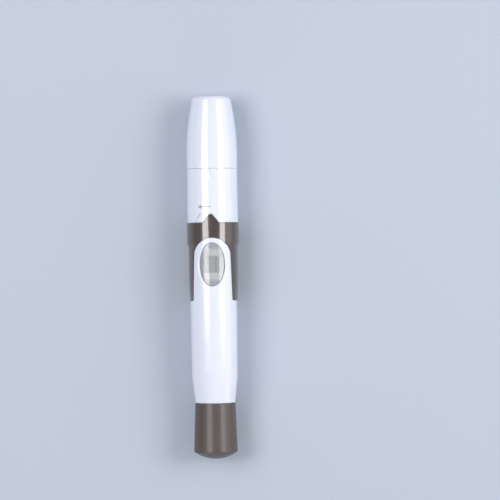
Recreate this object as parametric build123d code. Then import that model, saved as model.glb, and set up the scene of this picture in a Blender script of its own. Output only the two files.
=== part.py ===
from build123d import *
from math import asin, cos, sin
import os

# Pen-shaped lancing device, lying on its back with the release button up.
# X runs across the device, +Y points at the nose and +Z away from the surface it lies on.
# All sizes are in millimetres. A station is a distance along the axis, measured from the nose tip.

# Lengths along the axis, from the nose to the tail
nose_length = 25.3
sleeve_length = 18.8
grip_length = 27.3
barrel_length = 35.7
knob_length = 16.85
dome_height = 2.6
seam_gap = 0.08
rim_gap = 0.12
knob_gap = 0.25

# Outer radii of the round pieces
nose_tip_radius = 6.65
seam_radius = 8.85
sleeve_flare = 0.1
collar_proud = 0.2
collar_step = 0.53
grip_taper = 0.32
knob_front_radius = 7.05
knob_rear_radius = 7.65

# Edge finish
nose_edge_fillet = 1.7
seam_edge_chamfer = 0.08
soft_edge = 0.2

# Clearances
running_clearance = 0.15
seat_clearance = 0.05
place_tolerance = 0.01

# Nose dial and cap sleeve
needle_hole_radius = 2.2
nose_front_wall = 1.8
nose_chamber_front_radius = 4.6
nose_chamber_rear_radius = 6.1
dial_overlap = 11.3
dial_wall = 1.45
dial_neck_wall = 1.15
snap_bead_height = 0.25
snap_bead_length = 1.2
snap_bead_setback = 1.0
cap_wall = 1.25
cap_shoulder_length = 4.5

# Raised depth marks on the nose dial and the drop-shaped pointer on the cap sleeve
depth_mark_count = 5
depth_mark_pitch = 16
depth_mark_half_width = 1.0
depth_mark_longest = 5.7
depth_mark_step = 0.9
depth_mark_setback = 0.3
pointer_radius = 1.5
pointer_length = 7.2
pointer_setback = 0.3
mark_relief = 0.15

# Notch in the cap rim with the sloped tooth and the index tab in it, seen from above
notch_depth = 2.9
notch_rim_left = -5.8
notch_rim_right = 2.7
notch_top_left = -4.2
notch_top_right = 0.15
tooth_rim_left = -2.95
tooth_top_left = -0.85
tab_inset = 0.12

# Guide tube and its neck. The plunger bore and the tube take shares of the room between holder and grip.
neck_setback = 0.7
guide_bore_share = 0.256
guide_share = 0.585
guide_rear_reach = 8.6
holder_web_offset = 4.5
holder_web_length = 2.0

# Collar and grip zone of the grip sleeve
collar_length = 7.2
collar_slope_length = 1.7
grip_straight_length = 9.5

# Barrel, an oval that is deeper than it is wide and tapers to a round end at the knob
tongue_wall = 3.2185
tongue_drop = 0.15
shoulder_half_width = 8.2
waist_length = 8.8
waist_half_width = 8.05
waist_half_depth = 8.95
waist_blend_radius = 24.0
barrel_end_radius = 7.03
barrel_rear_bore_radius = 5.0

# Tongue of the barrel, with the button opening
tongue_reach = 21.9
tongue_front_half_width = 6.3
tongue_rear_half_width = 6.75
tongue_corner_fillet = 0.4
tongue_edge_fillet = 0.25
button_lip_fillet = 0.4
button_half_width = 4.5
button_half_length = 7.75
button_rim = 1.95

# Release button
button_clearance = 0.12
button_proud = 0.12
button_travel = 1.1
button_dish_depth = 0.55
button_dish_half_width = 3.4
button_dish_half_length = 6.4
button_ear_half_width = 1.6
button_ear_length = 0.9
button_ear_height = 0.6
button_ear_cover = 0.9
stem_half_width = 1.65
stem_length = 4.8
stem_offset = 0.3
stem_tip_rise = 0.9

# Lancet holder and plunger
lancet_radius = 3.15
lancet_depth = 9.5
lancet_lead_in = 0.4
holder_wall = 1.25
holder_length = 11.0
holder_setback = 0.5
holder_stud_radius = 2.0
holder_stud_length = 2.5
plunger_length = 6.5
latch_finger_length = 5.5
latch_finger_half_width = 1.8
latch_finger_thickness = 0.9
latch_tooth_length = 1.5
latch_tooth_height = 0.3

# Draw rod, spring seat, draw tube and knob
rod_radius = 1.5
rod_engagement = 3.5
rod_head_radius = 2.6
rod_head_length = 2.0
seat_plug_length = 5.0
seat_flange_length = 1.5
fire_stroke = 2.5
fire_margin = 0.5
draw_tube_radius = 3.5
draw_tube_wall = 0.6
draw_flange_length = 1.5
draw_flange_distance = 10.4
spigot_wall = 1.0
spigot_length = 11.6
spigot_lip_length = 1.5
plug_depth = 4.0
plug_floor = 1.2
plug_head_lip = 0.1

# Springs: wire radius and number of turns
return_wire_radius = 0.3
return_turns = 3
drive_wire_radius = 0.35
drive_mean_radius = 3.15
drive_turns = 9
knob_wire_radius = 0.35
knob_turns = 7
button_wire_radius = 0.15
button_coil_radius = 1.2
button_turns = 3
button_spring_floor = 0.5
button_spring_offset = -4.6

# Stations of the main joints between pieces
seam = nose_length
rim = seam + sleeve_length
shoulder = rim + grip_length
barrel_end = shoulder + barrel_length
knob_front = barrel_end + knob_gap
knob_rear = knob_front + knob_length
tail = knob_rear + dome_height
total_length = tail

# Radii that follow from a neighbour
rim_radius = seam_radius + sleeve_flare
collar_radius = rim_radius + collar_proud
grip_front_radius = collar_radius - collar_step
grip_rear_radius = grip_front_radius - grip_taper
holder_radius = lancet_radius + holder_wall
guide_room = grip_rear_radius - holder_radius
guide_bore_radius = holder_radius + guide_bore_share * guide_room
guide_radius = holder_radius + guide_share * guide_room
tongue_half_depth = guide_radius + tongue_wall
shoulder_half_depth = tongue_half_depth - tongue_drop
spigot_radius = barrel_rear_bore_radius + spigot_wall
cap_bore_radius = rim_radius - cap_wall
neck_radius = cap_bore_radius - running_clearance
dial_bore_radius = seam_radius - dial_wall
dial_neck_radius = dial_bore_radius - running_clearance
dial_neck_bore_radius = dial_neck_radius - dial_neck_wall
grip_bore_radius = guide_radius + seat_clearance
knob_bore_radius = spigot_radius + running_clearance
reach = 2 * collar_radius

# The device lies on its collar and on the flat along the back of the barrel
axis_height = collar_radius


def along(station):
    """Y of a point on the axis at this distance behind the nose tip."""
    return total_length / 2 - station


def turned(*corners):
    """Solid of revolution about the axis from (station, radius) corners."""
    outline = Polyline(*[(radius, along(station)) for station, radius in corners], close=True)
    return revolve(make_face(outline), Axis.Y)


def rod(start, end, radius):
    """Plain round bar on the axis."""
    return turned((start, 0), (end, 0), (end, radius), (start, radius))


def block(half_width, start, end, bottom, top):
    """Box between two stations and two heights above the axis, centred across the device."""
    across = Pos(0, (along(start) + along(end)) / 2, (bottom + top) / 2)
    return across * Box(2 * half_width, end - start, top - bottom)


def upright(sketch, bottom=0, top=reach):
    """Prism over a plan outline, between two heights above the axis."""
    return extrude(Pos(0, 0, bottom) * sketch, top - bottom)


def plan(*corners):
    """Plan outline from (x, station) corners."""
    return make_face(Polyline(*[(x, along(station)) for x, station in corners], close=True))


def coil(centre, axis, length, mean_radius, wire_radius, turns):
    """Round-wire spring that fills the given length from its foot at centre."""
    height = length - 2 * wire_radius
    foot = Vector(*centre) + Vector(*axis) * wire_radius
    path = Helix(height / turns, height, mean_radius, foot, axis)
    wire = Plane(path @ 0, z_dir=path % 0) * Circle(wire_radius)
    return sweep(wire, path, is_frenet=True)


def axial_coil(start, end, mean_radius, wire_radius, turns):
    """Spring on the axis between two stations."""
    return coil((0, along(start), 0), (0, -1, 0), end - start, mean_radius, wire_radius, turns)


def outer_edge(solid, station):
    """Largest circular edge of a turned solid at a station."""
    here = [edge for edge in solid.edges().filter_by(GeomType.CIRCLE)
            if abs(edge.arc_center.Y - along(station)) < place_tolerance]
    return max(here, key=lambda edge: edge.radius)


def dial_side(relief):
    """Curved side of the nose dial, or the same curve a relief further out."""
    side_end = seam - seam_edge_chamfer
    start = (seam_radius + relief, along(side_end))
    return TangentArc(start, (nose_tip_radius + relief, along(0)), tangent=(0, 1))


def depth_mark(length):
    """Plan of one depth mark, a bar with a round front end."""
    rear = seam - depth_mark_setback
    centre = rear - length + depth_mark_half_width
    bar = plan(
        (-depth_mark_half_width, rear),
        (depth_mark_half_width, rear),
        (depth_mark_half_width, centre),
        (-depth_mark_half_width, centre),
    )
    return bar + Pos(0, along(centre)) * Circle(depth_mark_half_width)


def make_depth_marks():
    """Raised bars round the dial, each shorter than the last."""
    outer = dial_side(mark_relief)
    inner = dial_side(-dial_wall / 2)
    ends = [Line(outer @ 1, inner @ 1), Line(inner @ 0, outer @ 0)]
    shell = revolve(make_face([outer, inner, *ends]), Axis.Y)
    marks = []
    for index in range(depth_mark_count):
        outline = depth_mark(depth_mark_longest - index * depth_mark_step)
        marks.append(shell & (Rot(0, -index * depth_mark_pitch, 0) * upright(outline)))
    return marks


def make_nose_dial():
    bead_front = seam - dial_overlap + snap_bead_setback - running_clearance
    bead_rear = bead_front + snap_bead_length + 2 * running_clearance
    groove_radius = dial_bore_radius + snap_bead_height
    neck_room = seam - dial_overlap - running_clearance
    side_end = seam - seam_edge_chamfer
    inside = Polyline(
        (nose_tip_radius, along(0)),
        (needle_hole_radius, along(0)),
        (needle_hole_radius, along(nose_front_wall)),
        (nose_chamber_front_radius, along(nose_front_wall)),
        (nose_chamber_rear_radius, along(neck_room)),
        (dial_bore_radius, along(neck_room)),
        (dial_bore_radius, along(bead_front)),
        (groove_radius, along(bead_front)),
        (groove_radius, along(bead_rear)),
        (dial_bore_radius, along(bead_rear)),
        (dial_bore_radius, along(seam)),
        (seam_radius - seam_edge_chamfer, along(seam)),
        (seam_radius, along(side_end)),
    )
    dial = revolve(make_face([dial_side(0), inside]), Axis.Y)
    return fillet(outer_edge(dial, 0), nose_edge_fillet) + make_depth_marks()


def pointer_outline():
    """Plan of the drop that points at the depth mark in use."""
    apex = seam + pointer_setback
    centre = apex + pointer_length - pointer_radius
    lean = asin(pointer_radius / (centre - apex))
    flank_x = pointer_radius * cos(lean)
    flank = centre - pointer_radius * sin(lean)
    tip = plan((0, apex), (flank_x, flank), (-flank_x, flank))
    return tip + Pos(0, along(centre)) * Circle(pointer_radius)


def notch_outline():
    """Plan of the notch in the cap rim."""
    return plan(
        (notch_rim_left, rim + rim_gap),
        (notch_rim_right, rim + rim_gap),
        (notch_top_right, rim - notch_depth),
        (notch_top_left, rim - notch_depth),
    )


def tooth_outline():
    """Plan of the sloped tooth on the right of the notch."""
    front = rim + rim_gap
    root = front + soft_edge
    return plan(
        (tooth_rim_left, root),
        (notch_rim_right - tab_inset, root),
        (notch_rim_right - tab_inset, front),
        (notch_top_right - tab_inset, rim - notch_depth + tab_inset),
        (tooth_top_left, rim - notch_depth + tab_inset),
        (tooth_rim_left, front),
    )


def tab_outline():
    """Plan of the index tab on the left of the notch."""
    return plan(
        (notch_rim_left + tab_inset, rim),
        (tooth_rim_left - tab_inset, rim),
        (tooth_top_left - tab_inset, rim - notch_depth + tab_inset),
        (notch_top_left + tab_inset, rim - notch_depth + tab_inset),
    )


def make_cap_sleeve():
    front = seam + seam_gap
    neck_front = seam - dial_overlap
    bead_front = neck_front + snap_bead_setback
    bead_rear = bead_front + snap_bead_length
    bead_radius = dial_neck_radius + snap_bead_height
    bore_front = front + cap_shoulder_length
    sleeve = turned(
        (neck_front, dial_neck_bore_radius),
        (neck_front, dial_neck_radius),
        (bead_front, dial_neck_radius),
        (bead_front, bead_radius),
        (bead_rear, bead_radius),
        (bead_rear, dial_neck_radius),
        (front, dial_neck_radius),
        (front, seam_radius - seam_edge_chamfer),
        (front + seam_edge_chamfer, seam_radius),
        (rim, rim_radius),
        (rim, cap_bore_radius),
        (bore_front, cap_bore_radius),
        (bore_front, dial_neck_bore_radius),
    )
    shell = turned(
        (front, seam_radius - cap_wall / 2),
        (front, seam_radius + mark_relief),
        (rim, rim_radius + mark_relief),
        (rim, rim_radius - cap_wall / 2),
    )
    pointer = shell & upright(pointer_outline())
    return sleeve + pointer - upright(notch_outline())


def make_guide_tube():
    neck_front = guide_neck_front
    web_front = neck_front + holder_web_offset
    web_rear = return_seat
    neck_rear = rim + rim_gap
    rear = shoulder + guide_rear_reach
    holder_hole = holder_radius + running_clearance
    tube = turned(
        (neck_front, guide_bore_radius),
        (neck_front, neck_radius - soft_edge),
        (neck_front + soft_edge, neck_radius),
        (neck_rear, neck_radius),
        (neck_rear, guide_radius),
        (rear, guide_radius),
        (rear, guide_bore_radius),
        (web_rear, guide_bore_radius),
        (web_rear, holder_hole),
        (web_front, holder_hole),
        (web_front, guide_bore_radius),
    )
    tab_front = rim - notch_depth
    tab_ring = rod(tab_front, rim, rim_radius) - rod(tab_front, rim, neck_radius - cap_wall / 2)
    tube += tab_ring & upright(tab_outline())
    window = block(stem_half_width + 2 * running_clearance, stem_front - 2 * running_clearance,
                   stem_front + stem_length + 2 * running_clearance, 0, reach)
    pocket_radius = button_coil_radius + button_wire_radius + 2 * running_clearance
    pocket_floor = guide_bore_radius + button_spring_floor
    pocket = Pos(0, along(button_station + button_spring_offset), pocket_floor) * Cylinder(
        pocket_radius, reach, align=(Align.CENTER, Align.CENTER, Align.MIN))
    return tube - window - pocket


def white_outline(clearance):
    """Plan of the tongue and of the barrel behind it, with round inner corners where they meet."""
    tongue_front = shoulder - tongue_reach
    centre = tongue_front + tongue_front_half_width
    tip_radius = tongue_front_half_width + clearance
    tongue = plan(
        (-tip_radius, centre),
        (tip_radius, centre),
        (tongue_rear_half_width + clearance, shoulder),
        (-tongue_rear_half_width - clearance, shoulder),
    )
    tip = Pos(0, along(centre)) * Circle(tip_radius)
    barrel_front = shoulder - clearance
    body = plan((-reach, barrel_front), (reach, barrel_front), (reach, tail), (-reach, tail))
    outline = tongue + tip + body
    corners = [vertex for vertex in outline.vertices()
               if abs(vertex.Y - along(barrel_front)) < place_tolerance
               and abs(vertex.X) < shoulder_half_width]
    return fillet(corners, tongue_corner_fillet)


def make_grip_sleeve():
    front = rim + rim_gap
    slope_front = rim + collar_length
    slope_rear = slope_front + collar_slope_length
    straight_rear = slope_rear + grip_straight_length
    outer = [
        Polyline(
            (grip_bore_radius, along(front)),
            (collar_radius - soft_edge, along(front)),
            (collar_radius, along(front + soft_edge)),
            (collar_radius, along(slope_front)),
            (grip_front_radius, along(slope_rear)),
            (grip_front_radius, along(straight_rear)),
        ),
        TangentArc((grip_front_radius, along(straight_rear)), (grip_rear_radius, along(shoulder)),
                   tangent=(0, -1)),
        Polyline(
            (grip_rear_radius, along(shoulder)),
            (grip_bore_radius, along(shoulder)),
            (grip_bore_radius, along(front)),
        ),
    ]
    sleeve = revolve(make_face(outer), Axis.Y)
    sleeve -= upright(white_outline(seat_clearance))
    tooth_front = rim - notch_depth
    tooth_rear = front + soft_edge
    tooth_ring = rod(tooth_front, tooth_rear, collar_radius) - rod(
        tooth_front, tooth_rear, neck_radius + seat_clearance)
    return sleeve + (tooth_ring & upright(tooth_outline()))


def barrel_section(station, half_width, half_depth):
    """Oval section of the barrel at a station."""
    across = Plane(origin=(0, along(station), 0), x_dir=(1, 0, 0), z_dir=(0, -1, 0))
    return across * Ellipse(half_width, half_depth)


def make_barrel_blank():
    """Outer form of the barrel, carried on forwards over the grip."""
    tongue_front = shoulder - tongue_reach
    waist = barrel_section(barrel_end - waist_length, waist_half_width, waist_half_depth)
    body = loft([
        barrel_section(tongue_front - tongue_edge_fillet, shoulder_half_width, tongue_half_depth),
        barrel_section(shoulder, shoulder_half_width, shoulder_half_depth),
        waist,
    ], ruled=True)
    taper = loft([waist, barrel_section(barrel_end, barrel_end_radius, barrel_end_radius)], ruled=True)
    blank = body + taper
    waist_edges = [edge for edge in blank.edges()
                   if abs(edge.center().Y - along(barrel_end - waist_length)) < place_tolerance]
    return fillet(waist_edges, waist_blend_radius)


def make_dished_blank():
    """Barrel form with the hollow for the fingertip along the button."""
    rim_depth = tongue_half_depth + button_proud
    stations = (
        (button_station - button_dish_half_length, rim_depth),
        (button_station, rim_depth - button_dish_depth),
        (button_station + button_dish_half_length, rim_depth),
    )
    return loft([barrel_section(station, shoulder_half_width, depth) for station, depth in stations])


def button_ears(clearance):
    """The two retaining ears at the ends of the button, or with a clearance the pockets for them."""
    half_width = button_ear_half_width + clearance
    overlap = button_ear_length + clearance
    top = shoulder_half_depth - button_ear_cover + clearance
    bottom = 0 if clearance else top - button_ear_height
    front = block(half_width, button_front - overlap, button_front + button_ear_length, bottom, top)
    rear = block(half_width, button_rear - button_ear_length, button_rear + overlap, bottom, top)
    return front + rear


def opening_lip(barrel):
    """Upper edge of the button opening."""
    above = [edge for edge in barrel.edges() if (edge @ 0.5).Z > guide_radius + button_travel / 2]
    return min(above, key=lambda edge: abs(edge.bounding_box().max.X - button_half_width))


def make_rear_barrel(blank):
    outside = upright(white_outline(0)) + block(reach, shoulder, tail, -reach, 0)
    barrel = blank & outside
    above_guide = [edge for edge in barrel.edges() if edge.center().Z > guide_bore_radius / 2]
    front_edges = [edge for edge in above_guide if edge.center().Y > along(shoulder) - seat_clearance]
    barrel = fillet(front_edges, tongue_edge_fillet)
    barrel -= block(reach, shoulder, tail, -reach, -axis_height)
    bore_shoulder = shoulder + guide_rear_reach + seat_flange_length
    spigot_rear = barrel_end + spigot_length
    lip_front = spigot_lip_front
    barrel += rod(barrel_end, spigot_rear, spigot_radius)
    barrel -= rod(shoulder - tongue_reach - soft_edge, bore_shoulder, guide_radius + seat_clearance)
    barrel -= rod(bore_shoulder, lip_front, barrel_rear_bore_radius)
    barrel -= rod(lip_front, spigot_rear, draw_tube_radius + running_clearance)
    opening = Pos(0, along(button_station)) * Ellipse(button_half_width, button_half_length)
    barrel -= upright(opening)
    barrel = fillet(opening_lip(barrel), button_lip_fillet)
    return barrel - button_ears(running_clearance)


def make_release_button(blank):
    centre = Pos(0, along(button_station))
    oval = centre * Ellipse(button_half_width - button_clearance, button_half_length - button_clearance)
    button = upright(oval) & (Pos(0, 0, button_proud) * blank)
    under_radius = guide_radius + running_clearance / 2
    under_top = under_radius + button_travel + running_clearance
    under = rod(button_front - reach, button_rear + reach, under_radius)
    button -= Pos(0, 0, under_top - under_radius) * under
    dish = upright(centre * Ellipse(button_dish_half_width, button_dish_half_length))
    button -= dish - make_dished_blank()
    stem_top = (under_top + tongue_half_depth + button_proud - button_dish_depth) / 2
    stem = block(stem_half_width, stem_front, stem_front + stem_length, stem_tip_height, stem_top)
    return button + button_ears(0) + stem


def make_lancet_holder():
    front = holder_front
    rear = front + holder_length
    holder = turned(
        (front, lancet_radius + lancet_lead_in),
        (front, holder_radius - soft_edge),
        (front + soft_edge, holder_radius),
        (rear, holder_radius),
        (rear, holder_stud_radius),
        (rear + holder_stud_length, holder_stud_radius),
        (rear + holder_stud_length, 0),
        (front + lancet_depth, 0),
        (front + lancet_depth, lancet_radius),
        (front + lancet_lead_in, lancet_radius),
    )
    return holder


def make_plunger():
    rear = plunger_front + plunger_length
    piston_radius = guide_bore_radius - running_clearance
    piston = rod(plunger_front, rear, piston_radius)
    channel_half_width = latch_finger_half_width + 2 * running_clearance
    piston -= block(channel_half_width, plunger_front, rear, latch_channel_height, reach)
    piston -= rod(plunger_front, plunger_front + holder_stud_length, holder_stud_radius + seat_clearance)
    piston -= rod(rear - rod_engagement, rear, rod_radius + seat_clearance)
    finger_top = latch_channel_height - latch_tooth_height
    finger_rear = rear + latch_finger_length
    tooth_front = finger_rear - latch_tooth_length
    finger = block(latch_finger_half_width, rear - rod_engagement, finger_rear,
                   finger_top - latch_finger_thickness, finger_top)
    tooth = Plane.YZ * make_face(Polyline(
        (along(tooth_front), finger_top),
        (along(tooth_front), latch_channel_height),
        (along(finger_rear), finger_top),
        close=True,
    ))
    return piston + finger + extrude(tooth, latch_finger_half_width, both=True)


def make_draw_rod():
    return turned(
        (rod_front, 0),
        (rod_front, rod_radius),
        (rod_head_front, rod_radius),
        (rod_head_front, rod_head_radius),
        (rod_head_front + rod_head_length, rod_head_radius),
        (rod_head_front + rod_head_length, 0),
    )


def make_spring_seat():
    guide_rear = shoulder + guide_rear_reach
    hole = rod_radius + running_clearance
    plug_radius = guide_bore_radius - seat_clearance
    return turned(
        (guide_rear - seat_plug_length, hole),
        (guide_rear - seat_plug_length, plug_radius),
        (guide_rear, plug_radius),
        (guide_rear, guide_radius),
        (guide_rear + seat_flange_length, guide_radius),
        (guide_rear + seat_flange_length, hole),
    )


def make_draw_tube():
    flange_radius = barrel_rear_bore_radius - running_clearance
    tube_bore = draw_tube_radius - draw_tube_wall
    hole = rod_radius + running_clearance
    flange_rear = draw_flange_front + draw_flange_length
    return turned(
        (draw_flange_front, hole),
        (draw_flange_front, flange_radius),
        (flange_rear, flange_radius),
        (flange_rear, draw_tube_radius),
        (draw_tube_rear, draw_tube_radius),
        (draw_tube_rear, tube_bore),
        (flange_rear, tube_bore),
        (flange_rear, hole),
    )


def make_cocking_knob():
    knob = turned(
        (knob_front, knob_bore_radius),
        (knob_front, knob_front_radius),
        (knob_rear, knob_rear_radius),
        (knob_rear, knob_bore_radius),
    )
    return fillet(outer_edge(knob, knob_front), soft_edge)


def make_knob_end_plug():
    plug_front = knob_rear - plug_depth
    plug_radius = knob_bore_radius - seat_clearance
    head_radius = knob_rear_radius - plug_head_lip
    dome = TangentArc((0, along(tail)), (head_radius, along(knob_rear + soft_edge)), tangent=(1, 0))
    body = Polyline(
        (head_radius, along(knob_rear + soft_edge)),
        (head_radius, along(knob_rear)),
        (plug_radius, along(knob_rear)),
        (plug_radius, along(plug_front)),
        (draw_tube_radius + seat_clearance, along(plug_front)),
        (draw_tube_radius + seat_clearance, along(draw_tube_rear)),
        (0, along(draw_tube_rear)),
        (0, along(tail)),
    )
    return revolve(make_face([dome, body]), Axis.Y)


# Stations of the button, the plunger train and the draw gear
button_front = shoulder - tongue_reach + button_rim
button_station = button_front + button_half_length
button_rear = button_station + button_half_length
stem_front = button_station + stem_offset - stem_length / 2
guide_neck_front = seam + seam_gap + cap_shoulder_length + neck_setback
return_seat = guide_neck_front + holder_web_offset + holder_web_length
holder_front = guide_neck_front + holder_setback
plunger_front = holder_front + holder_length
plunger_rear = plunger_front + plunger_length
rod_front = plunger_rear - rod_engagement
stem_tip_height = guide_bore_radius + stem_tip_rise
latch_channel_height = stem_tip_height - button_travel - running_clearance
drive_seat = shoulder + guide_rear_reach - seat_plug_length
draw_flange_front = barrel_end - draw_flange_distance
draw_tube_rear = knob_rear - plug_floor
rod_head_front = draw_flange_front + draw_flange_length + fire_stroke + fire_margin
spigot_lip_front = barrel_end + spigot_length - spigot_lip_length
knob_spring_foot = draw_flange_front + draw_flange_length
button_spring_bottom = guide_bore_radius + button_spring_floor
button_spring_height = button_travel + guide_radius - button_spring_bottom
button_spring_foot = (0, along(button_station + button_spring_offset), button_spring_bottom)
return_mean_radius = (holder_radius + guide_bore_radius) / 2
knob_mean_radius = (draw_tube_radius + barrel_rear_bore_radius) / 2

blank = make_barrel_blank()

springs = {
    "return_spring": axial_coil(return_seat, plunger_front, return_mean_radius,
                                return_wire_radius, return_turns),
    "drive_spring": axial_coil(plunger_rear, drive_seat, drive_mean_radius,
                               drive_wire_radius, drive_turns),
    "knob_spring": axial_coil(knob_spring_foot, spigot_lip_front, knob_mean_radius,
                              knob_wire_radius, knob_turns),
    "button_spring": coil(button_spring_foot, (0, 0, 1), button_spring_height,
                          button_coil_radius, button_wire_radius, button_turns),
}

pieces = {
    "nose_dial": make_nose_dial(),
    "cap_sleeve": make_cap_sleeve(),
    "guide_tube": make_guide_tube(),
    "grip_sleeve": make_grip_sleeve(),
    "rear_barrel": make_rear_barrel(blank),
    "release_button": make_release_button(blank),
    "lancet_holder": make_lancet_holder(),
    "plunger": make_plunger(),
    "draw_rod": make_draw_rod(),
    "spring_seat": make_spring_seat(),
    "draw_tube": make_draw_tube(),
    "cocking_knob": make_cocking_knob(),
    "knob_end_plug": make_knob_end_plug(),
    **springs,
}

os.makedirs("parts", exist_ok=True)
for name, solid in pieces.items():
    export_step(Pos(0, 0, axis_height) * solid, f"parts/{name}.step")
    print(name, round(solid.volume, 1), "mm3")
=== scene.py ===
# %% [markdown]
# # A lancing device, dressed for its portrait
# The solids of the device arrive from the CAD model. They are exact in size, and they stay the measure
# of everything here. Ten of them only need a finish. The barrel, the nose and the release button are
# shaped further, because their edges and reflections show the finer form of the mouldings. The four
# springs are copied, and a printed arrow is added.

# %% Load the solids
import math

import bpy
from mathutils import Euler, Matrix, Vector


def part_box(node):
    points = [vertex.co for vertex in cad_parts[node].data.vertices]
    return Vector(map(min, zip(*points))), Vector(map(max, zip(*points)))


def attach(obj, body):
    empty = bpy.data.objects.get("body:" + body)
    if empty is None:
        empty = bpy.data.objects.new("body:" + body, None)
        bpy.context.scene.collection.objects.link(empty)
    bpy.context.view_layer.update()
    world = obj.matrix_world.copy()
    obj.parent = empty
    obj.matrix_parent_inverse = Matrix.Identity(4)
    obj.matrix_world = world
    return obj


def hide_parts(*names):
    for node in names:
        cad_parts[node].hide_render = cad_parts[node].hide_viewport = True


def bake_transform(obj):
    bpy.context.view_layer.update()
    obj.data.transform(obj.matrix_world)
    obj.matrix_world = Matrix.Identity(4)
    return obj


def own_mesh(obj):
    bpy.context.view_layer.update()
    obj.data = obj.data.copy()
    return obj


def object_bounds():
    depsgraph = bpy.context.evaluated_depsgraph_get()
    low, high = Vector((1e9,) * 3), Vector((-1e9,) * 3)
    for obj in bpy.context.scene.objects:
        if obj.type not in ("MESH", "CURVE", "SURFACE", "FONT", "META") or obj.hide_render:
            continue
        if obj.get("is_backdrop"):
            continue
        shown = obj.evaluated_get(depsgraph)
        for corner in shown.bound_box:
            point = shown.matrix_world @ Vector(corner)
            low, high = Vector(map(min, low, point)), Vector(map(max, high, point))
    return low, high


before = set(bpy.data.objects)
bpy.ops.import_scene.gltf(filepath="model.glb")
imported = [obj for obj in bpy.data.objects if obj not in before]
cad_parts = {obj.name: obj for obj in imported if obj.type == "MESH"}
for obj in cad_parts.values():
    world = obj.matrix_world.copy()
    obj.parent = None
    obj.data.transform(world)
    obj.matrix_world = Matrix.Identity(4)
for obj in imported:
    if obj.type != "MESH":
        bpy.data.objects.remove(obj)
cad_low, cad_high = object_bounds()
MM = 0.001
cad_size = [round(side / MM, 2) for side in cad_high - cad_low]
print("solids:", len(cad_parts), "size in mm:", cad_size)

# %% [markdown]
# The device lies along Y with its nose at +Y. All joints between its pieces are rings round one
# axis, so each is one number: the Y where a piece starts or ends. They could be typed in, but read
# from the boxes of the solids they follow the part when it changes.

# %% Stations along the axis
nose_tip_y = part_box("nose_dial")[1].y
tongue_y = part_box("rear_barrel")[1].y
shoulder_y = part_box("grip_sleeve")[0].y
knob_low, knob_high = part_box("cocking_knob")
knob_front_y = knob_high.y
axis_z = (knob_low.z + knob_high.z) / 2
print("axis height in mm:", round(axis_z / MM, 3), "knob starts at:", round(knob_front_y / MM, 2))

# %% [markdown]
# The portrait looks down from over a metre away with a long lens, so the sides of the device hardly
# lean. A nearer camera with a shorter lens would frame it as well, but would show more of the flanks.
# The camera aims beside the device, which puts it left of the middle of the picture. It stands two
# degrees off the vertical, so that the button sits a little left of the middle of the barrel, and a
# small roll leans the nose to the left.

# %% Camera
picture_width = 175 * MM
camera_distance = 1250 * MM
aim = Vector((12.9 * MM, 9.45 * MM, axis_z))
camera_tilt = math.radians(2.0)
camera_roll = math.radians(-0.82)

camera_turn = Euler((0, camera_tilt, camera_roll))
backwards = Vector((0, 0, camera_distance))
backwards.rotate(camera_turn)
bpy.ops.object.camera_add(location=aim + backwards, rotation=camera_turn)
camera = bpy.context.object
camera.name = "portrait_camera"
camera.data.lens = camera.data.sensor_width * camera_distance / picture_width
camera.data.clip_start = 10 * MM
camera.data.clip_end = 10
bpy.context.scene.camera = camera
bpy.context.scene.view_settings.view_transform = "Standard"
print("lens in mm:", round(camera.data.lens, 1))

# %% [markdown]
# Shading is built from nodes. They could be added and linked one at a time, but a formula is easier to
# read than a list of links. So this class wraps one output of a node, and a sum or product of two of
# them adds the Math node for it. Every other node comes from `node`, which takes the type, its
# settings and what goes into its sockets.

# %% A socket that can be calculated with
class Shade:
    """One output in a node tree. Arithmetic on it adds Math nodes."""

    def __init__(self, tree, socket=None):
        self.tree = tree
        self.socket = socket

    def node(self, kind, settings=None, sockets=None, output=0):
        made = self.tree.nodes.new(kind)
        for name, value in (settings or {}).items():
            setattr(made, name, value)
        for name, value in (sockets or {}).items():
            feed(self.tree, made.inputs[name], value)
        return Shade(self.tree, made.outputs[output])

    def math(self, operation, first, second=0.0):
        return self.node("ShaderNodeMath", {"operation": operation}, {0: first, 1: second})

    def __add__(self, other):
        return self.math("ADD", self, other)

    def __sub__(self, other):
        return self.math("SUBTRACT", self, other)

    def __rsub__(self, other):
        return self.math("SUBTRACT", other, self)

    def __mul__(self, other):
        return self.math("MULTIPLY", self, other)

    def __abs__(self):
        return self.math("ABSOLUTE", self)

    __radd__ = __add__
    __rmul__ = __mul__


def feed(tree, target, value):
    """Links a Shade to an input, or sets a plain value on it."""
    if isinstance(value, Shade):
        tree.links.new(value.socket, target)
    else:
        target.default_value = value


print("arithmetic on sockets ready")

# %% [markdown]
# A plastic or metal finish is mostly the same few steps: start a material, let a colour and the
# roughness wander a little over the surface, and perhaps add a clear coat. An image texture could
# carry the wandering. Noise in the piece's own coordinates needs no file and no unwrapping.

# %% Helpers for finishes
def start_material(name):
    """A new material, its shader node and a Shade for adding nodes to its tree."""
    material = bpy.data.materials.new(name)
    material.use_nodes = True
    shader = material.node_tree.nodes["Principled BSDF"]
    return material, shader, Shade(material.node_tree)


def noise(make, scale, detail=2.0):
    """Cloudy noise from 0 to 1 over the piece, with blobs about 1/scale metres wide."""
    place = make.node("ShaderNodeTexCoord", output="Object")
    sockets = {"Vector": place, "Scale": scale, "Detail": detail}
    return make.node("ShaderNodeTexNoise", sockets=sockets)


def blend(make, factor, first, second):
    """A colour between two colours."""
    sockets = {0: factor, 6: first, 7: second}
    return make.node("ShaderNodeMix", {"data_type": "RGBA"}, sockets, output=2)


def paint(make, shader, tint, roughness):
    """Feeds a colour and a roughness into the shader."""
    feed(make.tree, shader.inputs["Base Color"], tint)
    feed(make.tree, shader.inputs["Roughness"], roughness)


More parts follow.
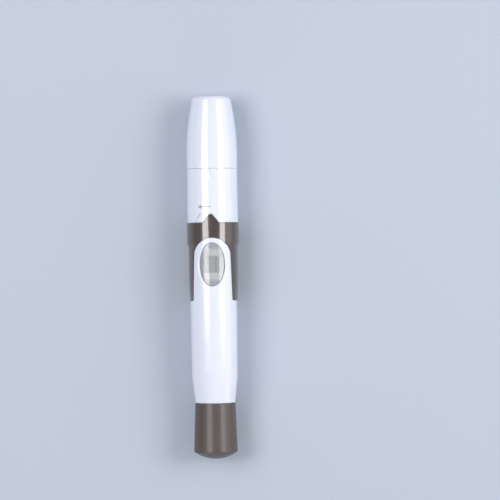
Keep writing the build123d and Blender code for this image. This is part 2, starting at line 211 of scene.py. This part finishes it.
def set_coat(shader, weight, roughness):
    """Lays a clear coat over the surface."""
    shader.inputs["Coat Weight"].default_value = weight
    shader.inputs["Coat Roughness"].default_value = roughness


print("finish helpers ready")

# %% [markdown]
# The white shells are moulded from a glossy plastic with a faint blue cast. It could be one flat
# colour, but up close it isn't: the pigment clouds a little, the gloss is duller where hands rub it,
# and the surface carries the very fine ripple of a polished mould. A clear coat gives the sharp, pale
# reflection on top of the softer shine below it.

# %% White plastic
ripple_scale = 2600.0
ripple_height = 0.02 * MM


def add_ripple(make, shader, strength):
    """The fine ripple of a polished mould, as a bump."""
    ripple = noise(make, ripple_scale)
    sockets = {"Strength": strength, "Distance": ripple_height, "Height": ripple}
    feed(make.tree, shader.inputs["Normal"], make.node("ShaderNodeBump", sockets=sockets))


def make_white_plastic():
    material, shader, make = start_material("white_moulded_plastic")
    clouds = noise(make, scale=90.0)
    handling = noise(make, scale=420.0, detail=4.0)
    tint = blend(make, clouds, (0.77, 0.785, 0.885, 1), (0.8, 0.815, 0.91, 1))
    paint(make, shader, tint, 0.11 + 0.06 * handling)
    add_ripple(make, shader, strength=0.03)
    set_coat(shader, weight=0.7, roughness=0.06)
    return material


white_plastic = make_white_plastic()
print("material:", white_plastic.name)

# %% [markdown]
# The grip sleeve and the knob are moulded in a warm grey brown. The sleeve is polished, so its dark
# colour shows the lamps as clear pale strips. The knob is pulled with the fingers and has a satin
# skin, which spreads the same lamps to a soft sheen. Two materials could be written out, but one
# function with a few settings keeps them alike.

# %% Taupe plastic, polished and satin
def make_taupe_plastic(name, coat, roughness, dark, pale):
    material, shader, make = start_material(name)
    clouds = noise(make, scale=110.0)
    handling = noise(make, scale=500.0, detail=4.0)
    paint(make, shader, blend(make, clouds, dark, pale), roughness + 0.08 * handling)
    add_ripple(make, shader, strength=0.04)
    set_coat(shader, weight=coat, roughness=0.07)
    return material


taupe_plastic = make_taupe_plastic(
    "taupe_polished_plastic", coat=1.0, roughness=0.2,
    dark=(0.06, 0.038, 0.031, 1), pale=(0.073, 0.048, 0.04, 1))
knob_plastic = make_taupe_plastic(
    "taupe_satin_plastic", coat=0.15, roughness=0.4,
    dark=(0.082, 0.061, 0.053, 1), pale=(0.099, 0.076, 0.066, 1))
print("materials:", taupe_plastic.name, knob_plastic.name)

# %% [markdown]
# The release button is a smoky plastic that lets some light in, so what lies under it shows softly.
# That light and shade is painted into its colour: painted shade of the stem as a darker block in the
# middle, darkest at its side walls, and painted light in lighter hollows in front of it and behind it.
# Full transmission could show the real stem, but the look would then hang on the little light inside
# the barrel. A painted tint that changes with the place on the button looks the same in any light.
# It is centred on the button, which sits a little nearer the nose than on the solid.

# %% Smoke plastic
button_low, button_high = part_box("release_button")
button_solid_y = (button_low.y + button_high.y) / 2
button_shift = 0.45 * MM
button_y = button_solid_y + button_shift


def axis_of(make, axis):
    """The place on the piece along X, Y or Z in metres."""
    place = make.node("ShaderNodeTexCoord", output="Object")
    return make.node("ShaderNodeSeparateXYZ", sockets={"Vector": place}, output=axis)


def smooth_step(make, value, low, high):
    """0 below low and 1 above high, with a soft change between."""
    sockets = {"Value": value, "From Min": low, "From Max": high}
    return make.node("ShaderNodeMapRange", {"interpolation_type": "SMOOTHSTEP"}, sockets)


def make_smoke_plastic():
    material, shader, make = start_material("smoke_plastic_pad")
    off_middle = abs(axis_of(make, "Y") - button_y)
    off_axis = abs(axis_of(make, "X"))
    inside = 1.0 - smooth_step(make, off_axis, 1.9 * MM, 3.3 * MM)
    # Painted light: the lighter hollows in front of the stem and behind it, as light shows through the
    # pad.
    past_stem = smooth_step(make, off_middle, 2.7 * MM, 3.3 * MM)
    hollow_light = past_stem - smooth_step(make, off_middle, 4.6 * MM, 6.2 * MM)
    # Painted shade: the stem seen through the pad as a darker block, darkest at its side walls.
    stem = 1.0 - smooth_step(make, off_middle, 2.4 * MM, 2.9 * MM)
    narrow = 1.0 - smooth_step(make, off_axis, 1.5 * MM, 1.9 * MM)
    wall_shade = smooth_step(make, off_axis, 0.5 * MM, 1.2 * MM)
    tint = blend(make, noise(make, scale=300.0), (0.37, 0.37, 0.375, 1), (0.43, 0.43, 0.435, 1))
    tint = blend(make, inside * hollow_light, tint, (0.56, 0.56, 0.555, 1))
    stem_shade_tint = blend(make, wall_shade, (0.4, 0.4, 0.395, 1), (0.33, 0.33, 0.325, 1))
    tint = blend(make, stem * narrow, tint, stem_shade_tint)
    paint(make, shader, tint, 0.16 + 0.1 * noise(make, scale=700.0, detail=3.0))
    shader.inputs["Transmission Weight"].default_value = 0.15
    shader.inputs["Specular IOR Level"].default_value = 0.1
    set_coat(shader, weight=0.85, roughness=0.05)
    return material


smoke_plastic = make_smoke_plastic()
print("material:", smoke_plastic.name)

# %% [markdown]
# Inside, the holder and the other working pieces are natural uncoloured plastic, and the springs and
# the draw rod are drawn steel wire. They could get scratches and mould marks too, but little of them is
# ever seen, even with the cap off. A little noise on colour and roughness is enough.

# %% Inner finishes
def make_natural_plastic():
    material, shader, make = start_material("natural_moulded_plastic")
    tint = blend(make, noise(make, scale=200.0), (0.66, 0.65, 0.6, 1), (0.74, 0.73, 0.68, 1))
    paint(make, shader, tint, 0.4 + 0.15 * noise(make, scale=900.0, detail=3.0))
    return material


def make_spring_steel():
    material, shader, make = start_material("drawn_steel_wire")
    tint = blend(make, noise(make, scale=800.0), (0.5, 0.5, 0.52, 1), (0.62, 0.62, 0.63, 1))
    paint(make, shader, tint, 0.22 + 0.16 * noise(make, scale=2500.0, detail=3.0))
    shader.inputs["Metallic"].default_value = 1.0
    return material


natural_plastic = make_natural_plastic()
spring_steel = make_spring_steel()
print("materials:", natural_plastic.name, spring_steel.name)

# %% [markdown]
# Each solid arrives with a slot that is named after its plastic or metal. The finishes could be given
# out piece by piece, but a table from slot to finish dresses all of them in one loop. The knob and its
# end share a slot with the grip, and get their satin skin by name.

# %% Finish the solids
finishes = {
    "white_plastic": white_plastic,
    "taupe_plastic": taupe_plastic,
    "smoke_plastic": smoke_plastic,
    "natural_plastic": natural_plastic,
    "spring_steel": spring_steel,
}
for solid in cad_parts.values():
    for slot in solid.material_slots:
        slot.material = finishes[slot.material.name.split(".")[0]]
for name in ("cocking_knob", "knob_end_plug"):
    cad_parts[name].material_slots[0].material = knob_plastic
print("finished solids:", len(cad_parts))

# %% [markdown]
# Modelling works on what is selected, and loading has left every solid selected. So the first helper
# gives each new piece a clean start. Others copy a solid as one merged skin, and end a piece: smooth
# shading that keeps real edges, the finish, and the body that the piece moves with.

# %% Modelling helpers
merge_distance = 0.001 * MM


def start_clean():
    """Leaves edit mode and deselects everything."""
    if bpy.context.mode != "OBJECT":
        bpy.ops.object.mode_set(mode="OBJECT")
    bpy.ops.object.select_all(action="DESELECT")


def begin_edit():
    """Opens the active piece in edit mode with all of it selected."""
    bpy.ops.object.mode_set(mode="EDIT")
    bpy.ops.mesh.select_all(action="SELECT")


def settle_place():
    """Moves a finished piece's place into its mesh, so that its object sits at the origin."""
    bpy.ops.object.transform_apply(location=True, rotation=True, scale=True)


def copy_solid(name):
    """A copy of a solid's mesh, merged to one skin, selected and ready to be reshaped."""
    start_clean()
    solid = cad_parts[name]
    piece = bpy.data.objects.new(name + "_copy", solid.data.copy())
    bpy.context.collection.objects.link(piece)
    piece.matrix_world = solid.matrix_world
    piece.select_set(True)
    bpy.context.view_layer.objects.active = piece
    settle_place()
    begin_edit()
    bpy.ops.mesh.remove_doubles(threshold=merge_distance)
    bpy.ops.mesh.customdata_custom_splitnormals_clear()
    bpy.ops.object.mode_set(mode="OBJECT")
    return piece


def finish_piece(piece, name, material, body=None, sharp_angle=35):
    """Names, smooths and paints a piece, and lets it ride on its body, if it has just one."""
    piece.name = name
    bpy.ops.object.shade_smooth_by_angle(angle=math.radians(sharp_angle))
    piece.data.materials.clear()
    piece.data.materials.append(material)
    if body:
        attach(piece, body)
    print(name, "faces:", len(piece.data.polygons), "on", body or "two bodies")


print("modelling helpers ready")

# %% [markdown]
# The barrel is deeper than it is wide. The solid has a plain ellipse for it, but the moulded barrel is
# fuller: its top is a half circle as wide as the barrel, on short upright flanks. It could be lofted
# anew, but its tongue and opening would have to be cut again. So a copy of the solid is merged to one
# skin, and the top of its outer surface is lifted by the height between the two curves. That grows
# with the distance from the middle, and the bore inside stays as it is.

# %% Fuller barrel
waist_y = knob_front_y + 9.05 * MM
# The place, half width and half depth of each section, from the tongue to the knob.
barrel_sections = [
    (tongue_y, 8.2 * MM, 9.9 * MM),
    (shoulder_y, 8.2 * MM, 9.75 * MM),
    (waist_y, 8.05 * MM, 8.95 * MM),
    (knob_front_y, 7.03 * MM, 7.03 * MM),
]
# The lift sets in over this band of the ellipse's formula, which is 1 on the outer surface.
lift_start, lift_band = 0.7, 0.2


def barrel_section(y):
    """Half width and half depth of the barrel at a place along it."""
    for front, rear in zip(barrel_sections, barrel_sections[1:]):
        front_y, width, depth = front
        rear_y, rear_width, rear_depth = rear
        if y >= rear_y:
            share = min(1, (front_y - y) / (front_y - rear_y))
            return width + share * (rear_width - width), depth + share * (rear_depth - depth)
    return rear_width, rear_depth


def barrel_lift(x, y, z):
    """How far a point at this height above the axis rises from the ellipse to the fuller section."""
    width, depth = barrel_section(y)
    across = min(1, (x / width) ** 2)
    outside = min(1, max(0, (across + (z / depth) ** 2 - lift_start) / lift_band))
    return outside * (depth - width) * (1 - math.sqrt(1 - across))


barrel = copy_solid("rear_barrel")
for point in barrel.data.vertices:
    height = point.co.z - axis_z
    if height > 0:
        point.co.z += barrel_lift(point.co.x, point.co.y, height)
print("barrel points:", len(barrel.data.vertices))

# %% [markdown]
# The opening for the button is a little smaller on the moulded barrel than on the solid, and lies closer
# to the end of the tongue. It could be filled and cut anew, but moving its points keeps the rounded rim.
# Those of the wall and rim are drawn in towards the new middle, and those round the rim follow less
# and less. They slide along the half circle of the top, so that the surface stays smooth.

# %% Opening for the button
share_across = 0.945
share_along = 0.978
rim_reach, still_reach = 1.1, 1.22
wall_foot_z = axis_z + 5 * MM
ear_reach = 1.02 * MM
opening_half_width = (button_high.x - button_low.x) / 2
opening_half_length = (button_high.y - button_low.y) / 2 - ear_reach
crown_radius = barrel_sections[0][1]


def crown_height(x):
    """Height of the half circle of the barrel's top at a place across it."""
    return math.sqrt(crown_radius ** 2 - x ** 2)


def follow(x, y):
    """1 on the wall and rim of the opening, falling softly to 0 where the surface stays as it is."""
    reach = math.hypot(x / opening_half_width, (y - button_solid_y) / opening_half_length)
    share = min(1, max(0, (reach - rim_reach) / (still_reach - rim_reach)))
    return 1 - share ** 2 * (3 - 2 * share)


drawn_in = 0
for point in barrel.data.vertices:
    weight = follow(point.co.x, point.co.y)
    if point.co.z > wall_foot_z and weight > 0:
        new_x = point.co.x * (1 + weight * (share_across - 1))
        new_y = button_y + share_along * (point.co.y - button_solid_y)
        point.co.z += crown_height(new_x) - crown_height(point.co.x)
        point.co.x = new_x
        point.co.y += weight * (new_y - point.co.y)
        drawn_in += 1
print("points drawn in:", drawn_in)
finish_piece(barrel, "barrel_shell", white_plastic, "housing")
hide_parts("rear_barrel")

# %% [markdown]
# The nose dial is a tapered white shell. Its taper swells a little in the middle, as a moulded nose does
# so that it looks full and not straight. A new profile could be spun round the axis, but the raised
# marks would have to be set on it again. So a copy of the solid is scaled outwards from the axis, by
# nothing at its two ends and most halfway along, which leaves the wall about as thick as it was.

# %% Fuller nose
dial_swell = 0.033

dial_low, dial_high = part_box("nose_dial")
dial = copy_solid("nose_dial")
for point in dial.data.vertices:
    share = (dial_high.y - point.co.y) / (dial_high.y - dial_low.y)
    outwards = 1 + dial_swell * math.sin(math.pi * share)
    point.co.x *= outwards
    point.co.z = axis_z + outwards * (point.co.z - axis_z)
finish_piece(dial, "dial_shell", white_plastic, "dial")
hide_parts("nose_dial")

# %% [markdown]
# The release button is an oval pad of smoky plastic, set in the tongue. It is rounded across, like the
# barrel round it, and hollowed along its length for a fingertip. A flattened ball would be quicker, but
# its edge wouldn't fit the opening. So the pad is drawn as one ring that is extruded again and again:
# from the middle of the underside outwards, up the side wall, over a rounded rim in a few steps, and
# back inwards to the middle of the top.

# %% Button pad
pad_play = 0.09 * MM
pad_sink = 0.3 * MM
pad_half_width = share_across * opening_half_width + pad_play
pad_half_length = share_along * opening_half_length + pad_play
pad_thickness = 1.2 * MM
pad_foot_z = button_high.z - pad_sink - pad_thickness
rim_round = 0.08 * MM
rim_steps = 5
top_rings = 22
under_rings = 8
ring_points = 144


def pad_stops():
    """The rings of the pad in order, each as an inset from the outline and a height above its foot."""
    stops = [(pad_half_width * (1 - step / under_rings), 0) for step in range(1, under_rings + 1)]
    for step in range(rim_steps + 1):
        turn = math.radians(90 * step / rim_steps)
        inset = rim_round * (1 - math.cos(turn))
        stops.append((inset, pad_thickness - rim_round * (1 - math.sin(turn))))
    room = pad_half_width - rim_round
    stops += [(rim_round + room * step / top_rings, pad_thickness) for step in range(1, top_rings)]
    return stops


start_clean()
middle = (0, button_y, pad_foot_z)
stops = pad_stops()
first_inset = stops[0][0]
bpy.ops.mesh.primitive_circle_add(vertices=ring_points, radius=1, location=middle)
button = bpy.context.object
begin_edit()
first_size = (pad_half_width - first_inset, pad_half_length - first_inset, 1)
bpy.ops.transform.resize(value=first_size, center_override=middle)
for (inset_before, height_before), (inset, height) in zip(stops, stops[1:]):
    rise = (0, 0, height - height_before)
    bpy.ops.mesh.extrude_edges_move(TRANSFORM_OT_translate={"value": rise})
    across = (pad_half_width - inset) / (pad_half_width - inset_before)
    along = (pad_half_length - inset) / (pad_half_length - inset_before)
    bpy.ops.transform.resize(value=(across, along, 1), center_override=middle)
bpy.ops.mesh.select_all(action="SELECT")
bpy.ops.mesh.fill_holes(sides=0)
bpy.ops.mesh.normals_make_consistent(inside=False)
start_clean()
print("button rings:", len(stops))

# %% [markdown]
# The crown follows the half circle of the barrel, and the fingertip hollow is a shallow trough along it.
# They could be pressed in by hand with proportional editing. Both are a formula of the place in plan,
# so it is simpler and more exact to lower each point of the flat pad by that much.

# %% Crown and hollow of the button
hollow_half_length = 7.0 * MM
hollow_depth = 0.25 * MM


def pad_drop(x, y):
    """How far the pad lies below its highest level at a place in plan."""
    across = crown_radius - crown_height(x)
    spread = ((y - button_y) / hollow_half_length) ** 2
    return across + hollow_depth * max(0, 1 - spread) ** 2


button.select_set(True)
bpy.context.view_layer.objects.active = button
settle_place()
for point in button.data.vertices:
    point.co.z -= pad_drop(point.co.x, point.co.y)
print("hollow in mm:", round(hollow_depth / MM, 2))

# %% [markdown]
# Under the pad stands the stem that trips the catch, and two small ears hold the button in the tongue.
# They are bevelled boxes. They could just be pushed into the pad, but their hidden ends would stay
# inside it, so they are united with the pad and the button is one closed skin.

# %% Stem and ears of the button
stem_size = (3.3 * MM, 4.8 * MM, 2.6 * MM)
stem_offset = -0.3 * MM
ear_size = (3.2 * MM, 2.2 * MM, 0.6 * MM)
ear_lift = 0.25 * MM
box_bevel = 0.12 * MM


def add_box(size, place):
    """A box with softened edges, ready to be united with another piece."""
    start_clean()
    bpy.ops.mesh.primitive_cube_add(size=1, location=place)
    box = bpy.context.object
    begin_edit()
    bpy.ops.transform.resize(value=size, center_override=place)
    bpy.ops.mesh.bevel(offset=box_bevel, segments=2, affect="EDGES")
    start_clean()
    return box


def apply_modifier(piece, kind, **settings):
    """Adds a modifier with these settings and applies it."""
    modifier = piece.modifiers.new(kind.title(), kind)
    for name, value in settings.items():
        setattr(modifier, name, value)
    bpy.ops.object.modifier_apply(modifier=modifier.name)


def unite(piece, other):
    """Makes one closed skin of two overlapping pieces."""
    start_clean()
    piece.select_set(True)
    bpy.context.view_layer.objects.active = piece
    apply_modifier(piece, "BOOLEAN", operation="UNION", solver="EXACT", object=other)
    bpy.data.objects.remove(other)


stem_z = button_low.z + stem_size[2] / 2
unite(button, add_box(stem_size, (0, button_solid_y + stem_offset, stem_z)))
ear_z = pad_foot_z + ear_lift
for end in (-1, 1):
    ear_y = button_solid_y + end * ((button_high.y - button_low.y) / 2 - ear_size[1] / 2)
    unite(button, add_box(ear_size, (0, ear_y, ear_z)))
finish_piece(button, "button_pad", smoke_plastic, "button")
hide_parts("release_button")

# %% [markdown]
# Four wire springs sit inside, each a coil of drawn steel that gets shorter as its piece moves. A stiff
# coil would poke through what moves towards it. The springs of the button and the knob stand against a
# fixed wall and feel one motion. A copy of each solid is finished as it is and rides on the housing.

# %% Springs of the button and the knob
along_y, along_z = (0, 1, 0), (0, 0, 1)


def finish_coil(coil, name, node, body=None):
    """Finishes a copy of a spring, and lets it stand for the solid spring."""
    finish_piece(coil, name, spring_steel, body, sharp_angle=60)
    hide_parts(node)


low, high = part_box("button_spring")
button_coil = copy_solid("button_spring")
finish_coil(button_coil, "button_coil", "button_spring", "housing")
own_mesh(button_coil)

low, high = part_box("knob_spring")
knob_coil = copy_solid("knob_spring")
finish_coil(knob_coil, "knob_coil", "knob_spring", "housing")
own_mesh(knob_coil)

# %% [markdown]
# The drive spring feels two motions: the pull on the knob and the stroke of the holder. One piece can
# be squashed by one motion only, so the spring is cut in two at its middle. The rear half rides on the
# housing. The front half runs on from there between the knob and the holder and rides on no body, as
# the return spring at the front of the holder does.

# %% Springs of the holder
cut_width = 0.02 * MM
cut_tolerance = 0.0001 * MM


def keep_side(piece, cut_y, front):
    """Cuts a piece across, closes the cut and keeps its front or its rear."""
    begin_edit()
    bpy.ops.mesh.bisect(plane_co=(0, cut_y, 0), plane_no=along_y, use_fill=True,
                        clear_inner=front, clear_outer=not front, threshold=cut_tolerance)
    bpy.ops.object.mode_set(mode="OBJECT")


low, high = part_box("drive_spring")
half_y = (low.y + high.y) / 2
rear_coil = copy_solid("drive_spring")
keep_side(rear_coil, half_y, front=False)
finish_coil(rear_coil, "drive_coil_rear", "drive_spring", "housing")
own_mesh(rear_coil)
front_coil = copy_solid("drive_spring")
keep_side(front_coil, half_y + cut_width, front=True)
finish_coil(front_coil, "drive_coil_front", "drive_spring")
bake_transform(front_coil)

low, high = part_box("return_spring")
return_coil = copy_solid("return_spring")
finish_coil(return_coil, "return_coil", "return_spring")
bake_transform(return_coil)

# %% [markdown]
# A small grey arrow is printed on the cap sleeve: it shows which way the cap turns before it comes off.
# Pad-printed ink is a little uneven, paler and duller where the film is thin, so one fine speckle
# drives both its colour and its roughness.

# %% Ink for the printed arrow
def make_grey_ink():
    material, shader, make = start_material("grey_printing_ink")
    speckle = noise(make, scale=5000.0, detail=3.0)
    tint = blend(make, speckle, (0.26, 0.26, 0.28, 1), (0.4, 0.4, 0.43, 1))
    paint(make, shader, tint, 0.35 + 0.2 * speckle)
    return material


grey_ink = make_grey_ink()
print("material:", grey_ink.name)

# %% [markdown]
# The arrow could be drawn in the white plastic's nodes, but a thin piece of its own keeps a sharp edge
# at any distance. It starts as a flat outline above the sleeve: the shaft is a plane, its left edge is
# extruded and flared to the width of the head, extruded once more and merged to the tip. It is divided
# finely, so that it can bend.

# %% Outline of the arrow
arrow_y = nose_tip_y - 38.7 * MM
arrow_tip_x = -4.8 * MM
arrow_tail_x = -0.3 * MM
arrow_head_length = 1.3 * MM
arrow_head_half_width = 0.75 * MM
arrow_shaft_half_width = 0.15 * MM
flare_step = match_distance = 0.01 * MM
arrow_cuts = 7

start_clean()
shaft_length = arrow_tail_x - arrow_tip_x - arrow_head_length
shaft_middle = (arrow_tail_x - shaft_length / 2, arrow_y, cad_high.z)
shaft_size = (shaft_length, 2 * arrow_shaft_half_width, 1)
bpy.ops.mesh.primitive_plane_add(size=1, location=shaft_middle)
arrow = bpy.context.object
begin_edit()
bpy.ops.transform.resize(value=shaft_size, center_override=shaft_middle)
bpy.ops.mesh.select_all(action="DESELECT")
bpy.ops.object.mode_set(mode="OBJECT")
settle_place()
head_x = arrow_tip_x + arrow_head_length
for edge in arrow.data.edges:
    ends = [arrow.data.vertices[index].co for index in edge.vertices]
    edge.select = all(abs(end.x - head_x) < match_distance for end in ends)
bpy.ops.object.mode_set(mode="EDIT")
flare = arrow_head_half_width / arrow_shaft_half_width
middle = (head_x, arrow_y, 0)
bpy.ops.mesh.extrude_edges_move(TRANSFORM_OT_translate={"value": (-flare_step, 0, 0)})
bpy.ops.transform.resize(value=(1, flare, 1), center_override=middle)
bpy.ops.mesh.extrude_edges_move(TRANSFORM_OT_translate={"value": (-arrow_head_length, 0, 0)})
bpy.ops.mesh.merge(type="CENTER")
bpy.ops.mesh.select_all(action="SELECT")
bpy.ops.mesh.subdivide(number_cuts=arrow_cuts)
bpy.ops.object.mode_set(mode="OBJECT")
settle_place()
print("arrow points:", len(arrow.data.vertices))

# %% [markdown]
# Ink lies on the surface. The flat outline is dropped straight down onto the sleeve, which bends it
# round the curve without a sum, and then it gets the thickness of a coat of ink.

# %% Arrow laid on the sleeve
ink_thickness = 0.015 * MM

apply_modifier(arrow, "SHRINKWRAP", target=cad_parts["cap_sleeve"], wrap_method="PROJECT",
               use_project_z=True, use_negative_direction=True, use_positive_direction=False)
apply_modifier(arrow, "SOLIDIFY", thickness=ink_thickness, offset=1)
finish_piece(arrow, "turn_arrow_print", grey_ink, "cap")

# %% [markdown]
# The device lies on a plain, pale, matt floor with a little blue in it. A curved paper backdrop would do
# as well, but from above only the flat part would show. It lies a hair below the device.

# %% Floor
floor_size = 3.0
floor_drop = 0.02 * MM

start_clean()
bpy.ops.mesh.primitive_plane_add(size=floor_size, location=(0, 0, -floor_drop))
floor = bpy.context.object
floor.name = "studio_floor"
floor_material, floor_shader, _ = start_material("pale_floor")
floor_shader.inputs["Base Color"].default_value = (0.5, 0.54, 0.61, 1)
floor_shader.inputs["Roughness"].default_value = 0.9
floor.data.materials.append(floor_material)
floor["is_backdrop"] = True
print("floor:", floor.name)

# %% [markdown]
# Two long soft boxes, left and right of the camera, make the two pale strips down the device. Small
# lamps would make dots, because a polished shell mirrors the shape of its lamp. The strips are brightest
# over the grip, dimmer towards the nose and fade out towards the tail, so the lamps do the same along
# their length. The left lamp stands steeper, and its strip lies closer to the middle.

# %% Soft boxes
lamp_distance = 0.7
lamp_nose_end = 0.4
hot_end = 0.06
hot_fade = 0.1


def add_area_lamp(name, place, turn, width, length, energy):
    """A rectangular lamp that shines along its own -Z."""
    bpy.ops.object.light_add(type="AREA", location=place, rotation=turn)
    lamp = bpy.context.object
    lamp.name = name
    lamp.data.shape = "RECTANGLE"
    lamp.data.size = width
    lamp.data.size_y = length
    lamp.data.energy = energy
    return lamp


def add_soft_box(name, lean_degrees, width, tail_end, fade, radiance, cool):
    """A lamp at an angle off the vertical, fading towards its tail end and dimmer past its hot end."""
    lean = math.radians(lean_degrees)
    length = lamp_nose_end - tail_end
    across = math.sin(lean) * lamp_distance
    up = math.cos(lean) * lamp_distance
    place = (across, (lamp_nose_end + tail_end) / 2, axis_z + up)
    energy = radiance * math.pi * width * length
    lamp = add_area_lamp(name, place, (0, lean, 0), width, length, energy)
    lamp.data.use_nodes = True
    make = Shade(lamp.data.node_tree)
    on_lamp = make.node("ShaderNodeNewGeometry", output="Parametric")
    along = make.node("ShaderNodeSeparateXYZ", sockets={"Vector": on_lamp}, output="Y")
    place_y = along * length + tail_end
    start = smooth_step(make, place_y, tail_end, tail_end + fade)
    hot = 1.0 - smooth_step(make, place_y, hot_end, hot_end + hot_fade)
    strength = start * (cool + (1 - cool) * hot)
    feed(make.tree, lamp.data.node_tree.nodes["Emission"].inputs["Strength"], strength)
    return lamp


strip = {"tail_end": -0.08, "fade": 0.035, "radiance": 8.2, "cool": 0.42}
left_box = add_soft_box("left_soft_box", lean_degrees=-30.7, width=0.34, **strip)
right_box = add_soft_box("right_soft_box", lean_degrees=45.0, width=0.31, **strip)
print("lamps:", left_box.name, right_box.name)

# %% [markdown]
# A wide, weak lamp low on the right lifts that flank, so that the left one falls into a light shade, and
# a small one behind the tail does the same for the end of the knob. The rest is an even, bluish light
# from all round. It could be stronger in place of the fills, but then nothing would have a shaded side.

# %% Fill lights and air
air_colour = (0.82, 0.89, 1.0, 1)
air_strength = 0.43

right_fill = add_soft_box("right_fill", lean_degrees=82, width=0.5, tail_end=-0.5, fade=0.2,
                          radiance=1.0, cool=1.0)
tail_fill = add_area_lamp("tail_fill", place=(0, -0.6, 0.14), turn=(math.radians(78), 0, 0),
                          width=0.6, length=0.25, energy=0.8)
world = bpy.data.worlds.new("studio_air")
world.use_nodes = True
air = world.node_tree.nodes["Background"]
air.inputs["Color"].default_value = air_colour
air.inputs["Strength"].default_value = air_strength
bpy.context.scene.world = world
print("fills:", right_fill.name, tail_fill.name, "air:", world.name)

# %% [markdown]
# Last, the box round the finished pieces is printed, so that it can be set beside the box round
# the solids that was printed at the start.

# %% Size of the finished pieces
low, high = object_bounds()
print("finished size in mm:", [round(side / MM, 2) for side in high - low])
